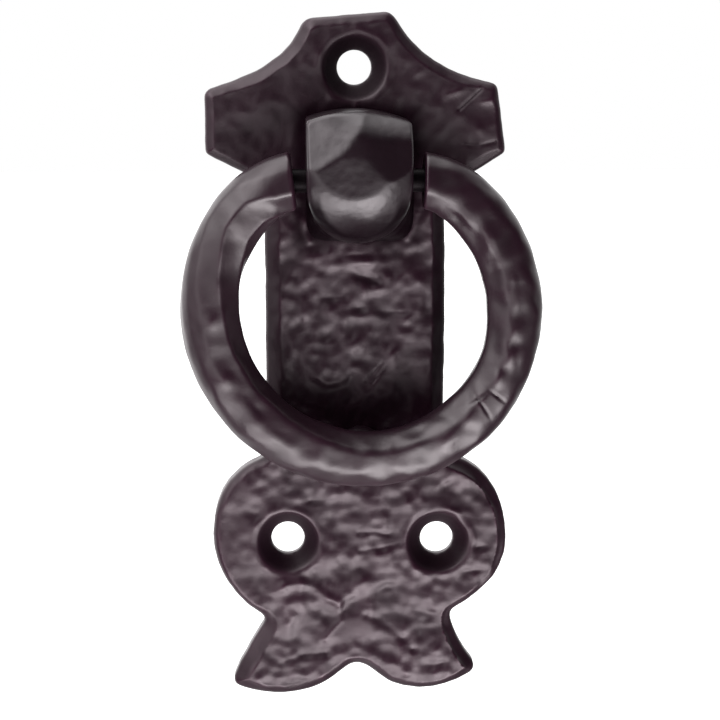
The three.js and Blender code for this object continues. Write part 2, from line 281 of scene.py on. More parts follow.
# On the ring: distance along the bar from its lowest point, positive to the right, and turn round the bar's
# section from its outer side in degrees / 10, so that 9 is the front.
RING_BLOWS = [
    # three chisel cuts at the lower right
    (23.9, 9.6, -0.3, 2.3, 0.26, 74), (26.7, 8.4, -0.26, 1.9, 0.26, 84), (24.3, 11.3, -0.22, 1.8, 0.26, -21),
    # hammered lumps up the right side
    (15.8, 9.1, 0.18, 2.4, 1.1, 0), (20.5, 10.0, 0.2, 1.6, 1.3, 0), (29.2, 9.9, 0.22, 1.5, 1.1, 0),
    (31.5, 9.7, -0.18, 1.1, 1.1, 0), (33.5, 9.4, 0.2, 1.4, 1.1, 0), (36.1, 9.1, -0.16, 1.2, 1.0, 0),
    (38.3, 9.3, 0.19, 1.4, 1.1, 0), (42.8, 9.3, 0.13, 1.6, 0.9, 0), (47.3, 9.2, 0.19, 1.5, 0.9, 0),
    (61.7, 11.9, 0.2, 3.0, 0.9, 0), (67.9, 7.0, -0.45, 3.0, 1.6, 0),
    # broader steps down the left side
    (-16.6, 8.8, 0.2, 3.0, 1.2, 0), (-21.6, 10.8, -0.25, 1.5, 1.0, 0), (-24.7, 9.1, 0.22, 1.4, 1.4, 0),
    (-29.2, 9.0, 0.35, 1.6, 1.5, 0), (-33.4, 8.6, -0.25, 1.7, 1.6, 0), (-39.6, 9.3, 0.32, 1.7, 1.6, 0),
]


# ---------------- the backplate

def resample(loop, spacing):
    """The closed loop with points every spacing along it."""
    closed = np.vstack([loop, loop[:1]])
    lengths = np.r_[0, np.cumsum(np.linalg.norm(np.diff(closed, axis=0), axis=1))]
    count = max(12, int(round(lengths[-1] / spacing)))
    places = np.linspace(0, lengths[-1], count, endpoint=False)
    return np.column_stack([np.interp(places, lengths, closed[:, k]) for k in (0, 1)])


def rounded(loop, spacing, radius):
    """The closed loop smoothed by a Gaussian, which rounds its corners and takes out its facets."""
    reach = int(3 * radius / spacing)
    steps = np.arange(-reach, reach + 1)
    weights = np.exp(-0.5 * (steps * spacing / radius) ** 2)
    weights /= weights.sum()
    return sum(w * np.roll(loop, -s, axis=0) for s, w in zip(steps, weights))


def inward(loop):
    """Unit normals that point into the loop's inside. The loop may run either way."""
    along = np.roll(loop, -1, axis=0) - np.roll(loop, 1, axis=0)
    normals = np.column_stack([-along[:, 1], along[:, 0]])
    normals /= np.linalg.norm(normals, axis=1)[:, None]
    x, z = loop[:, 0], loop[:, 1]
    area = np.sum(x * np.roll(z, -1) - z * np.roll(x, -1))
    return normals if area > 0 else -normals


def distance_to(loop, points):
    """Distance from each point to the closed loop's polyline."""
    nexts = np.roll(loop, -1, axis=0)
    span = nexts - loop
    length2 = np.sum(span**2, axis=1)
    result = np.empty(len(points))
    for start in range(0, len(points), 1500):
        part = points[start:start + 1500, None, :]
        t = np.clip(np.sum((part - loop) * span, axis=2) / length2, 0, 1)
        gap = part - (loop + t[..., None] * span)
        result[start:start + 1500] = np.sqrt(np.min(np.sum(gap**2, axis=2), axis=1))
    return result


def inside(loop, points):
    x, z = loop[:, 0], loop[:, 1]
    xn, zn = np.roll(x, -1), np.roll(z, -1)
    result = np.empty(len(points), bool)
    for start in range(0, len(points), 3000):
        px, pz = points[start:start + 3000, :1], points[start:start + 3000, 1:]
        crosses = (z > pz) != (zn > pz)
        rise = np.where(zn == z, 1e-12, zn - z)
        hit = crosses & (px < x + (pz - z) * (xn - x) / rise)
        result[start:start + 3000] = hit.sum(axis=1) % 2 == 1
    return result


def triangulate(loops, scattered):
    """Triangles over the inside of the first loop less the others, through the scattered points."""
    # Vectors are single precision, and the test for what lies inside has to see the same points.
    loops = [np.float32(loop).astype(float) for loop in loops]
    points = np.vstack(loops + [scattered])
    edges = []
    start = 0
    for loop in loops:
        count = len(loop)
        edges += [(start + j, start + (j + 1) % count) for j in range(count)]
        start += count
    corners = [Vector(p) for p in points]
    _, _, triangles, origins, _, _ = geometry.delaunay_2d_cdt(corners, edges, [], 0, 1e-7)
    original = np.array([o[0] for o in origins])
    triangles = original[np.array(triangles)]
    middles = points[triangles].mean(axis=1)
    keep = inside(loops[0], middles)
    for hole in loops[1:]:
        keep &= ~inside(hole, middles)
    return points, triangles[keep]


def halve(points, triangles, loops):
    """Each triangle as four. The loops, as point numbers, gain the middle of each of their edges."""
    edges = np.vstack([triangles[:, [0, 1]], triangles[:, [1, 2]], triangles[:, [2, 0]]])
    edges.sort(axis=1)
    unique, where = np.unique(edges, axis=0, return_inverse=True)
    middle_of = {tuple(e): len(points) + i for i, e in enumerate(unique)}
    ab, bc, ca = where.reshape(3, -1) + len(points)
    a, b, c = triangles.T
    corners = [(a, ab, ca), (ab, b, bc), (ca, bc, c), (ab, bc, ca)]
    finer = np.vstack([np.column_stack(t) for t in corners])
    borders = []
    for loop in loops:
        border = []
        for start, end in zip(loop, np.roll(loop, -1)):
            border += [start, middle_of[min(start, end), max(start, end)]]
        borders.append(np.array(border))
    return np.vstack([points, points[unique].mean(axis=1)]), finer, borders


def hex_grid(low, high, spacing):
    """Points (x, z) in staggered rows over a rectangle."""
    rows = np.arange(low[1], high[1], spacing * math.sqrt(0.75))
    columns = np.arange(low[0], high[0], spacing)
    shift = (np.arange(len(rows)) % 2) * spacing / 2
    return np.vstack([np.column_stack([columns + d, np.full(len(columns), z)]) for d, z in zip(shift, rows)])


# The plate's edge bevel near some places round its outline: (x, z), width, depth, and how it curves, from
# hollow (below 1) through flat (1) to round (2).
BEVELS = [
    ((0, 59), 1.5, 1.0, 1.2), ((-13, 51), 1.9, 1.7, 1.1), ((13, 51), 1.7, 1.5, 1.1),
    ((-26, 40), 1.5, 1.0, 1.1), ((26, 41), 1.2, 0.9, 1.2),
    ((-20, 32), 1.4, 1.2, 1.1), ((20, 31), 2.0, 1.3, 1.1),
    ((-16, 18), 2.7, 2.0, 1.2), ((-16, -8), 2.7, 2.0, 1.2),
    ((16, 18), 2.4, 2.3, 1.1), ((16, -8), 2.4, 2.3, 1.1),
    ((-21, -22), 1.2, 1.0, 1.5), ((-26, -33), 1.1, 1.0, 1.6), ((-22, -44), 1.1, 0.9, 1.6),
    ((21, -22), 1.9, 1.6, 0.6), ((28, -35), 1.6, 1.3, 0.6), ((22, -45), 1.1, 0.9, 0.8),
    ((-19, -55), 2.6, 1.8, 1.1), ((-13, -63.5), 1.8, 1.5, 1.2), ((-2, -59.5), 1.6, 1.4, 1.2),
    ((19, -54), 1.8, 1.8, 0.6), ((12, -63), 1.4, 1.2, 1.3),
]


def bevel_sizes(points):
    """The bevel's width, depth and curve at each (x, z), blended from the places listed."""
    sites = np.array([b[0] for b in BEVELS], float)
    sizes = np.array([b[1:] for b in BEVELS], float)
    gap2 = np.sum((points[:, None, :] - sites) ** 2, axis=2) + 4
    weights = gap2**-2.5
    weights /= weights.sum(axis=1)[:, None]
    return (weights @ sizes).T


HEAD_LEVEL, SHAFT_LEVEL = 36.0, 27.0
SMOOTH_SPOT, SMOOTH_SPOT_SIZE = (-0.2, -51.2), (3.4, 2.8)  # between the tails


def hammered(xz):
    """The height of the plate's hammered surface at each (x, z): soft lumps, large and small."""
    base = flat_points(xz * (1.1, 1.0))
    lumps = 0.26 * perlin(base, 2.0, 3)
    swell = 0.58 * perlin(base, 4.6, 5)
    small = 0.016 * perlin(base, 1.1, 7)
    grit = 0.006 * perlin(base, 0.4, 11)
    # Calmer on the head, at the left lobe's edge and between the tails.
    strength = 1 - 0.5 * smoothstep(SHAFT_LEVEL, HEAD_LEVEL, xz[:, 1])
    strength *= 1 - 0.5 * smoothstep(-16, -20, xz[:, 0]) * smoothstep(-20, -25, xz[:, 1])
    from_spot = np.hypot(*((xz - SMOOTH_SPOT) / SMOOTH_SPOT_SIZE).T)
    strength *= 0.1 + 0.9 * smoothstep(0.7, 1.4, from_spot)
    texture = (lumps + swell + small + grit) * strength
    legs = strokes(xz, [(LEG_HEIGHT, LEG_HALF_WIDTH, leg) for leg in LUG_LEGS])
    return texture + blows(xz, PLATE_BLOWS) + strokes(xz, PLATE_STROKES) + legs


LUMP_ROOM = 0.12  # how far the front lies behind the plate's thickness, which leaves room for its lumps
SCREW_HOLE_WIDTH = 6.0
COUNTERSINK_WIDTH, COUNTERSINK_SLOPE = 2.6, 1.15


def plate_front(xz, outline, holes):
    """Depth y of the plate's front at each (x, z), and the hammered height there."""
    edge = distance_to(outline, xz)
    width, depth, roundness = bevel_sizes(xz)
    t = np.clip(1 - edge / width, 0, 1)
    drop = depth * t**roundness + 0.3 * np.clip(1 - edge / 0.5, 0, 1) ** 2
    relief = hammered(xz) * (0.15 + 0.85 * smoothstep(0.2, 1.3, edge / width))
    cone = np.zeros(len(xz))
    for centre, rim_radius in holes:
        away = np.linalg.norm(xz - centre, axis=1)
        relief *= 0.08 + 0.92 * smoothstep(rim_radius - 0.4, rim_radius + 1.2, away)
        relief += 0.14 * np.exp(-(((away - rim_radius - 0.7) / 0.7) ** 2))
        into = rim_radius - away
        cone = np.maximum(cone, 0.5 * COUNTERSINK_SLOPE * (into + np.sqrt(into**2 + 0.04)))
    return LUMP_ROOM - PLATE_THICKNESS + drop + cone - relief, relief


def plate_painted_shade(points, holes):
    """Painted shade at each point of the plate, which darkens its colour and dulls its gloss: round the lug,
    the ring's shadow on the shaft, down the right-hand chamfer, on the tails' lower bevels and in the
    countersinks. Its back has none of it.
    """
    x, y, z = points.T
    beside = np.abs(x - LUG_X) - LUG_SIDE
    beyond = np.abs(z - HINGE[2]) - LUG_BOTTOM
    above_lobes = smoothstep(-21, -17, z)
    # Painted shade in the recess round the lug's foot, the ring's painted shadow behind its lower bar,
    # painted shade down the right-hand chamfer, and the tails' lower bevels made darker.
    round_lug = 1 - smoothstep(0.5, 4.0, np.maximum(beside, beyond + 1))
    behind_ring = 0.97 * smoothstep(-2, -10, z) * above_lobes
    right_chamfer = 0.7 * smoothstep(13.2, 14.2, x) * above_lobes * smoothstep(29, 26, z)
    tail_bevels = 0.4 * smoothstep(-55, -58, z) * smoothstep(-4.3, -3.8, y)
    patches = [round_lug, behind_ring, right_chamfer, tail_bevels]
    # Painted shade in each countersink.
    for centre, rim_radius in holes:
        away = np.linalg.norm(points[:, [0, 2]] - centre, axis=1)
        patches.append(0.75 * (1 - smoothstep(rim_radius - 0.8, rim_radius + 0.2, away)))
    # The painted shade is taken off the low ridges that run out from the lug's corners.
    lightened = strokes(points[:, [0, 2]], [(0.8, 0.7, leg) for leg in LUG_LEGS])
    return np.maximum(np.max(patches, axis=0) - lightened, 0) * smoothstep(-0.6, -2.4, y)


def plate_loops():
    """The plate's smooth outline, its screw holes as (middle, rim radius), and every hole's loop."""
    spacing = 0.44
    loops = back_loops("backplate")
    outline = rounded(resample(loops[0], spacing / 2), spacing / 2, 0.5)[::2]
    wobble = 0.1 * perlin(flat_points(outline), 4.0, 61) + 0.05 * perlin(flat_points(outline), 1.3, 67)
    outline = outline + inward(outline) * wobble[:, None]
    holes, hole_loops = [], []
    for loop in loops[1:]:
        centre = (loop.min(axis=0) + loop.max(axis=0)) / 2
        if abs(np.ptp(loop[:, 0]) - SCREW_HOLE_WIDTH) < 0.2:
            radius = np.linalg.norm(loop - centre, axis=1).mean()
            holes.append((centre, radius + COUNTERSINK_WIDTH))
            angles = np.linspace(0, TAU, 48, endpoint=False)
            hole_loops.append(centre + radius * np.column_stack([np.cos(angles), np.sin(angles)]))
        else:
            # The lug's mortise and the stud's hole, drawn small enough to lie behind what fills them.
            hole_loops.append(resample(centre + (loop - centre) * 0.78, 0.6))
    return outline, holes, hole_loops


def scattered_over(outline, hole_loops):
    """Points all over the plate's front, closer together along its edge."""
    grid = hex_grid(outline.min(axis=0), outline.max(axis=0), 0.5)
    rims = np.vstack([outline + inward(outline) * d for d in (0.3, 0.65)])
    rims = rims[distance_to(outline, rims) > 0.25]
    grid = grid[inside(outline, grid)]
    grid = grid[distance_to(outline, grid) > 0.95]
    scattered = np.vstack([rims, grid])
    for loop in hole_loops:
        scattered = scattered[~inside(loop, scattered)]
        scattered = scattered[distance_to(loop, scattered) > 0.3]
    return scattered


def plate_back(outline, hole_loops, border_points):
    """The pitted back, as points and faces. Its first points are the borders, which stay flat."""
    loops = [outline] + hole_loops
    grid = hex_grid(outline.min(axis=0), outline.max(axis=0), 1.2)
    grid = grid[inside(outline, grid)]
    for loop in loops:
        grid = grid[distance_to(loop, grid) > 0.8]
    for loop in hole_loops:
        grid = grid[~inside(loop, grid)]
    xz, faces = triangulate(border_points, grid)
    back = flat_points(xz)
    dents = 0.3 * np.maximum(perlin(back, 3.6, 73) + 0.5 * perlin(back, 1.8, 79) + 0.1, 0)
    dents[:sum(len(b) for b in border_points)] = 0
    back[:, 1] -= dents
    return back, faces[:, ::-1]


WALL_LEVELS = (0.25, 0.5, 0.75, 0.93)  # rows of points down the plate's sides, from its front to its back


def plate_walls(front, borders, total):
    """The sides of the plate and of its holes: rows of points numbered from total on, and faces."""
    rows, faces = [], []
    back_start = len(front)
    for border in borders:
        rim = front[border]
        out = -inward(rim[:, [0, 2]])
        row = border
        for level in WALL_LEVELS:
            wall = rim * (1, 1 - level, 1)
            if border is borders[0]:
                wall[:, [0, 2]] -= out * (0.06 * perlin(wall, 1.2, 71))[:, None]
            rows.append(wall)
            next_row = np.arange(total, total + len(wall))
            faces += band_faces(row, next_row)
            row = next_row
            total += len(wall)
        faces += band_faces(row, np.arange(back_start, back_start + len(border)))
        back_start += len(border)
    return rows, faces


def backplate(material):
    outline, holes, hole_loops = plate_loops()
    loops = [outline] + hole_loops
    xz, triangles = triangulate(loops, scattered_over(outline, hole_loops))
    firsts = np.cumsum([0] + [len(loop) for loop in loops])
    numbers = [np.arange(a, b) for a, b in zip(firsts, firsts[1:])]
    xz, triangles, borders = halve(xz, triangles, numbers)
    y, relief = plate_front(xz, outline, holes)
    front = np.column_stack([xz[:, 0], y, xz[:, 1]])
    back, back_faces = plate_back(outline, hole_loops, [xz[b] for b in borders])
    walls, wall_faces = plate_walls(front, borders, len(front) + len(back))
    faces = triangles.tolist() + (back_faces + len(front)).tolist() + wall_faces
    points = np.vstack([front, back] + walls)
    relief = np.r_[relief, 0.5 * perlin(points[len(relief):], 2.6, 77)]
    painted_shade = plate_painted_shade(points, holes)
    make_piece("plate_casting", points, faces, "plate", ["backplate"], material,
               relief, painted_shade)


# ---------------- the hinge lug

LUG_SIDE, LUG_TOP, LUG_BOTTOM = 8.9, 11.8, 10.8
LUG_AROUND = 320
NOSE_LEVEL = 18.0  # about how far out from the door the sides end
NOSE_POWER = 2.15  # nearly round: the power of the outline's bottom there


def lug_radius(angles, side, bottom, power):
    """The lug's outline as its distance from the pivot at each angle: an arched top, straight sides and a
    bottom from round (power 2) to square (7)."""
    turn = np.linspace(0, math.pi, 500)
    lower = np.column_stack([
        side * np.sign(np.cos(turn)) * np.abs(np.cos(turn)) ** (2 / power),
        -bottom * np.abs(np.sin(turn)) ** (2 / power),
    ])
    x = np.linspace(-side, side, 90)
    upper = np.column_stack([x, LUG_TOP - 0.022 * (x + 0.6) ** 2])
    loop = rounded(resample(np.vstack([lower, upper]), 0.12), 0.12, 0.3)
    around = np.arctan2(loop[:, 1], loop[:, 0])
    order = np.argsort(around)
    return np.interp(angles, around[order], np.hypot(*loop[order].T), period=TAU)


# Faces filed on the lug's front: where each starts, from the pivot, which way it falls, and how steeply.
LUG_FLATS = [
    ((-6.4, 2.7), (-0.53, 0.85), 0.51),
    ((-1.8, 4.8), (0.24, 0.97), 0.2),
    ((1.8, 3.3), (0.73, 0.68), 0.38),
]
LUG_EYE, LUG_EYE_RADIUS = (-0.9, 4.3), 6.8  # the flat round eye, from the pivot


def lug_nose(x, z):
    """How far the lug's front stands out at (x, z) from the pivot: the filed faces and the bowl below."""
    crown = LUG_FRONT - 0.05
    faces = []
    for start, towards, slope in LUG_FLATS:
        faces.append(crown - slope * (towards[0] * (x - start[0]) + towards[1] * (z - start[1])))
    out = np.hypot(x - LUG_EYE[0], z - LUG_EYE[1]) - LUG_EYE_RADIUS
    bowl = crown - 0.42 * out - 0.055 * np.maximum(out, 0) ** 2
    eye = np.full(len(x), crown)
    round_over = 0.17 * smoothstep(-10, 4, x) * np.maximum(z - 6.9 + 0.1 * x, 0) ** 2
    return soft_min(np.column_stack(faces + [bowl, eye]), 0.1) - round_over


def lug_edge_radius(direction):
    """The rounding of the nose's edge: small over the top and down the sides, large below."""
    return 0.7 + 1.3 * smoothstep(0.5, 0.95, -direction[:, 1])


def lug_painted_shade(points, rim_gap):
    """Painted shade on the lug, which darkens its colour and dulls its gloss: round the lower part of its
    nose, under it and down its sides.
    """
    x, z = points[:, 0] - LUG_X, points[:, 2] - HINGE[2]
    # Painted shade over the nose's lower flanks, where it also hides their edge highlights, under the nose
    # and down the sides.
    low = smoothstep(1.0, -3.0, z)
    flank = smoothstep(2.6, 1.4, rim_gap) * smoothstep(-1.5, -4.5, z)
    under = 0.85 * smoothstep(-5.0, -9.5, z - 0.25 * x)
    corner = smoothstep(6.0, 7.5, np.abs(x)) * smoothstep(-6.5, -8.0, z)
    side = 0.9 * (rim_gap <= 0) * (1 - corner)
    return low * np.maximum(side, np.maximum(flank, under))


def lug_tang(direction, foot):
    """Rings of the tang through the plate, peened over at the back."""
    rings = []
    sections = [(0.25, 5.6, 4.1), (0.7, 6.0, 4.5), (2.0, 4.5, 3.0), (foot, 4.5, 3.0)]
    for depth, half_width, half_height in sections:
        c, s = np.abs(direction.T)
        reach = (c**9 / half_width**9 + s**9 / half_height**9) ** (-1 / 9)
        rings.append((direction * reach[:, None], np.full(len(direction), depth)))
    return rings


def lug_sides(angles, direction, foot, nose_radius, rim_depth):
    """Rings up the lug's sides, from a spread foot with square lower corners to the rim of its nose."""
    rings = []
    upper = smoothstep(-0.35, 0.1, direction[:, 1])
    for t in np.r_[0, 0.02, 0.05, np.linspace(0.09, 1, 34)]:
        level = foot + t * (NOSE_LEVEL - foot)
        side = LUG_SIDE + np.interp(level, [foot, 5.4, 7], [0.5, 0.15, 0])
        bottom = LUG_BOTTOM + np.interp(level, [foot, 6.5, 9], [0.5, 0.15, 0])
        power = np.interp(level, [foot, 5.5, 7.5, 10, 12], [7, 5.5, 3.4, 2.4, NOSE_POWER])
        reach = nose_radius if level > 12 else lug_radius(angles, side, bottom, power)
        reach = reach * (1 - upper) + nose_radius * upper
        spread = 0.6 * (1 - upper) * smoothstep(11, 6, level)
        rings.append((direction * reach[:, None] + np.outer(spread, (1, 0)), foot + t * (rim_depth - foot)))
    return rings


# Rings of points over the nose's rounded edge: distances in from its rim where the edge's radius is 2.
NOSE_EDGE_RINGS = np.array([0.012, 0.05, 0.11, 0.2, 0.32, 0.46, 0.64, 0.86, 1.12, 1.4, 1.7, 2.05, 2.4])


def lug_front(direction, nose_radius, edge_radius):
    """Rings over the filed front, rounded off into the sides, and how far in from the rim each one lies."""
    gaps = [c * edge_radius / 2.0 for c in NOSE_EDGE_RINGS]
    shares = [1 - gap / nose_radius for gap in gaps]
    shares += [shares[-1] * share for share in np.linspace(0.975, 0.02, 48)]
    rings, rim_gaps = [], []
    for share in shares:
        xz = direction * (nose_radius * share)[:, None]
        short = np.clip(1 - nose_radius * (1 - share) / edge_radius, 0, 1)
        rings.append((xz, lug_nose(*xz.T) - edge_radius * (1 - np.sqrt(1 - short**2))))
        rim_gaps.append(nose_radius * (1 - share))
    return rings, rim_gaps


def hinge_lug(material):
    angles = np.linspace(0, TAU, LUG_AROUND, endpoint=False)
    direction = np.column_stack([np.cos(angles), np.sin(angles)])
    foot = PLATE_THICKNESS + 0.1
    nose_radius = lug_radius(angles, LUG_SIDE, LUG_BOTTOM, NOSE_POWER)
    edge_radius = lug_edge_radius(direction)
    rim_depth = lug_nose(*(direction * nose_radius[:, None]).T) - edge_radius
    behind = lug_tang(direction, foot) + lug_sides(angles, direction, foot, nose_radius, rim_depth)
    front, front_gaps = lug_front(direction, nose_radius, edge_radius)
    rings = behind + front
    rim_gap = np.concatenate([np.zeros(len(behind) * LUG_AROUND)] + front_gaps)
    points = [np.column_stack([xz[:, 0] + LUG_X, -depth, xz[:, 1] + HINGE[2]]) for xz, depth in rings]
    points = np.vstack(points)
    painted_shade = lug_painted_shade(points, rim_gap)
    relief = 0.07 * perlin(points, 3.2, 83) + 0.02 * perlin(points, 1.1, 89)
    relief *= smoothstep(-5.5, -7.5, points[:, 1])
    away = points - (LUG_X, -12, HINGE[2])
    points = points + away / np.linalg.norm(away, axis=1)[:, None] * relief[:, None]
    faces = closed_loft_faces(len(rings), LUG_AROUND)
    make_piece("lug_casting", points, faces, "plate", ["hinge_lug"], material, relief, painted_shade)


# ---------------- the ring

RING_CENTRE = np.array([HINGE[0], RING_LOW[2] + 0.5 * (RING_HIGH[0] - RING_LOW[0])])
BAR_DEPTH = RING_HIGH[1] - RING_LOW[1]
BAR_WIDTH = 9.7
RING_RADIUS = 0.5 * (RING_HIGH[0] - RING_LOW[0]) - 0.5 * BAR_WIDTH
RING_END = 11.15  # from the lug's middle to each end of the ring
OUT_OF_ROUND = 0.4
RING_MIDDLE_Y = 0.5 * (RING_LOW[1] + RING_HIGH[1])
RING_ALONG, RING_AROUND = 620, 112  # points along the bar and round it
SOCKET_RADIUS, SOCKET_DEPTH = 2.3, 4.2


def ring_line(t):
    """The bar's centre line in (x, z) and its angle clockwise from the top. At the right end t is 0, and it
    runs to 1 at the left end."""
    rise = HINGE[2] - RING_CENTRE[1]
    right = LUG_X + RING_END - RING_CENTRE[0]
    left = RING_CENTRE[0] - LUG_X + RING_END
    start, end = math.atan2(right, rise), math.atan2(left, rise)
    angle = start + t * (TAU - start - end)
    on_right = angle < math.pi
    from_top = np.where(on_right, angle, TAU - angle)
    end_angle = np.where(on_right, start, end)
    end_radius = np.where(on_right, math.hypot(right, rise), math.hypot(left, rise))
    shoulder = math.radians(50)
    flat = np.clip((shoulder - from_top) / (shoulder - end_angle), 0, 1) ** 2
    bent = OUT_OF_ROUND * np.cos(2 * (angle - math.radians(135))) * (1 - flat)
    radius = RING_RADIUS + bent - (RING_RADIUS - end_radius) * flat
    line = RING_CENTRE + radius[:, None] * np.column_stack([np.sin(angle), np.cos(angle)])
    return line, angle


# The bar's section is forged flat in these directions, in degrees from its outer side with 90 to the front:
# close together they make it round, and wide apart they leave a ridge.
SECTION_FLATS = (0, 22, 45, 76, 132, 180, 225, 270, 315)

# How the front ridge wanders round the bar: (distance along the bar, turn in degrees).
RIDGE_WANDER = [
    (-72, 10), (-66, 0), (-61, -22), (-56, -24), (-50, -6), (-41, 12),
    (-32, 20), (-20, 28), (-10, 24), (0, 10), (12, 5), (60, 0),
]


def bar_section(turn, twist, crispness):
    """Radius factors at each turn round the section, one row for each twist and crispness of its ridges."""
    angles = turn[None, :, None] - np.radians(SECTION_FLATS) - twist[:, None, None]
    power = crispness[:, None]
    return (np.maximum(np.cos(angles), 0) ** power[..., None]).sum(axis=2) ** (-1 / power)


def ring_stations():
    """The bar's centre (x, z), outward direction, distance along and angle, at each station along it."""
    line, angle = ring_line(np.linspace(0, 1, RING_ALONG))
    tangent = np.gradient(line, axis=0)
    length = np.linalg.norm(tangent, axis=1)
    tangent /= length[:, None]
    along = np.cumsum(length)
    outward = np.column_stack([-tangent[:, 1], tangent[:, 0]])
    outward *= np.sign(np.sum(outward * (line - RING_CENTRE), axis=1))[:, None]
    # Both ends are cut nearly upright, so the sections turn upright towards them.
    for end_cut, from_end in (((0.03, 1), along), ((-0.12, 1), along[-1] - along)):
        share = (1 - smoothstep(0, 7, from_end))[:, None]
        outward = outward * (1 - share) + np.array(end_cut) * share
    outward /= np.linalg.norm(outward, axis=1)[:, None]
    return line, outward, along, angle


def ring_bar(line, outward, angle, station, turn, on_left):
    """Points round the faceted bar at each station, before the hammering."""
    twist = np.radians(np.interp(station, *zip(*RIDGE_WANDER)))
    factor = bar_section(turn, twist, 13 + 27 * on_left)
    thin = 1 - 0.045 * np.exp(-(((angle - math.radians(112)) / math.radians(14)) ** 2))
    radial = np.cos(turn) * factor * (thin * BAR_WIDTH / 2)[:, None]
    points = np.empty((RING_ALONG, RING_AROUND, 3))
    points[..., 0] = line[:, :1] + radial * outward[:, :1]
    points[..., 1] = RING_MIDDLE_Y - np.sin(turn) * factor * BAR_DEPTH / 2
    points[..., 2] = line[:, 1:] + radial * outward[:, 1:]
    return points.reshape(-1, 3)


def ring_relief(points, station, turn, on_left, from_end):
    """The height of the ring's hammered surface at each point."""
    on_front = smoothstep(0.2, 0.75, np.sin(turn))
    hammering = np.outer(0.85 - 0.45 * on_left, 0.45 + 0.55 * on_front).ravel()
    relief = 0.4 * perlin(points, 3.6, 101) + 0.06 * perlin(points, 1.9, 103)
    relief = (relief + 0.006 * perlin(points, 0.6, 107)) * hammering
    places = [np.repeat(station, RING_AROUND), np.tile(np.degrees(turn) / 10, RING_ALONG)]
    relief += blows(np.column_stack(places), RING_BLOWS)
    return relief * (0.3 + 0.7 * smoothstep(0.0, 6.0, from_end))


def ring_end(rim, numbers, out, total):
    """One cut end of the bar with its pin socket: rows of points numbered from total on, and faces."""
    centre = rim.mean(axis=0)
    spokes = rim - centre
    round_socket = spokes / np.linalg.norm(spokes, axis=1)[:, None]
    rows = [centre + spokes * share + out * 0.12 for share in (0.9, 0.7)]
    rows += [centre + round_socket * (SOCKET_RADIUS + 0.3) + out * 0.1]
    rows += [centre + round_socket * SOCKET_RADIUS - out * depth for depth in (0.2, SOCKET_DEPTH)]
    faces, row = [], numbers
    for _ in rows:
        next_row = np.arange(total, total + RING_AROUND)
        faces += band_faces(row, next_row)
        row = next_row
        total += RING_AROUND
    return rows, faces + [tuple(row)]


def knocker_ring(material):
    line, outward, along, angle = ring_stations()
    turn = np.linspace(0, TAU, RING_AROUND, endpoint=False)
    station = np.interp(math.pi, angle, along) - along
    # The ring's left side is filed to crisper facets than its right, and hammered less.
    on_left = np.exp(-(((angle - math.radians(285)) / math.radians(50)) ** 2))
    bar = ring_bar(line, outward, angle, station, turn, on_left)
    centres = np.column_stack([line[:, 0], np.full(RING_ALONG, RING_MIDDLE_Y), line[:, 1]])
    spokes = bar - np.repeat(centres, RING_AROUND, axis=0)
    spokes /= np.linalg.norm(spokes, axis=1)[:, None]
    from_end = np.repeat(np.minimum(along, along[-1] - along), RING_AROUND)
    relief = ring_relief(bar, station, turn, on_left, from_end)
    rounding = -0.45 * np.clip(1 - from_end / 0.6, 0, 1) ** 2
    bar = bar + spokes * (relief + rounding)[:, None]
    points, faces = [bar], loft_faces(RING_ALONG, RING_AROUND)
    total = len(bar)
    for index, sense in ((0, 1), (RING_ALONG - 1, -1)):
        numbers = np.arange(index * RING_AROUND, (index + 1) * RING_AROUND)
        out = np.array([-outward[index][1], 0, outward[index][0]]) * sense
        rows, end_faces = ring_end(bar[numbers], numbers, out, total)
        points += rows
        faces += end_faces
        total += len(rows) * RING_AROUND
    relief = np.r_[relief, np.zeros(total - len(bar))]
    points = np.vstack(points)
    make_piece("ring_forging", points, faces, "ring", ["knocker_ring"], material, relief)


# ---------------- the pin and the stud

def turned(profile, centre, axis, around):
    """Points and faces of a turned solid with flat ends. The profile is (radius, place along the axis)."""
    axis = np.array(axis, float)
    first = np.array([0, 0, 1.0]) if abs(axis[2]) < 0.5 else np.array([1.0, 0, 0])
    second = np.cross(axis, first)
    angles = np.linspace(0, TAU, around, endpoint=False)
    circle = np.cos(angles)[:, None] * first + np.sin(angles)[:, None] * second
    points = np.vstack([centre + circle * r + axis * a for r, a in profile])
    return points, closed_loft_faces(len(profile), around)


def pivot_pin(material):
    radius = 0.5 * (PIN_HIGH[2] - PIN_LOW[2])
    half = 0.5 * (PIN_HIGH[0] - PIN_LOW[0])
    centre = 0.5 * (PIN_LOW + PIN_HIGH)
    chamfer = 0.35
    profile = [(radius - chamfer, -half), (radius, chamfer - half)]
    profile += [(radius, a) for a in np.linspace(1 - half, half - 1, 60)]
    profile += [(radius, half - chamfer), (radius - chamfer, half)]
    points, faces = turned(profile, centre, (1, 0, 0), 64)
    relief = 0.03 * perlin(points, 1.2, 151)
    make_piece("pin_rod", points, faces, "plate", ["pivot_pin"], material, relief)


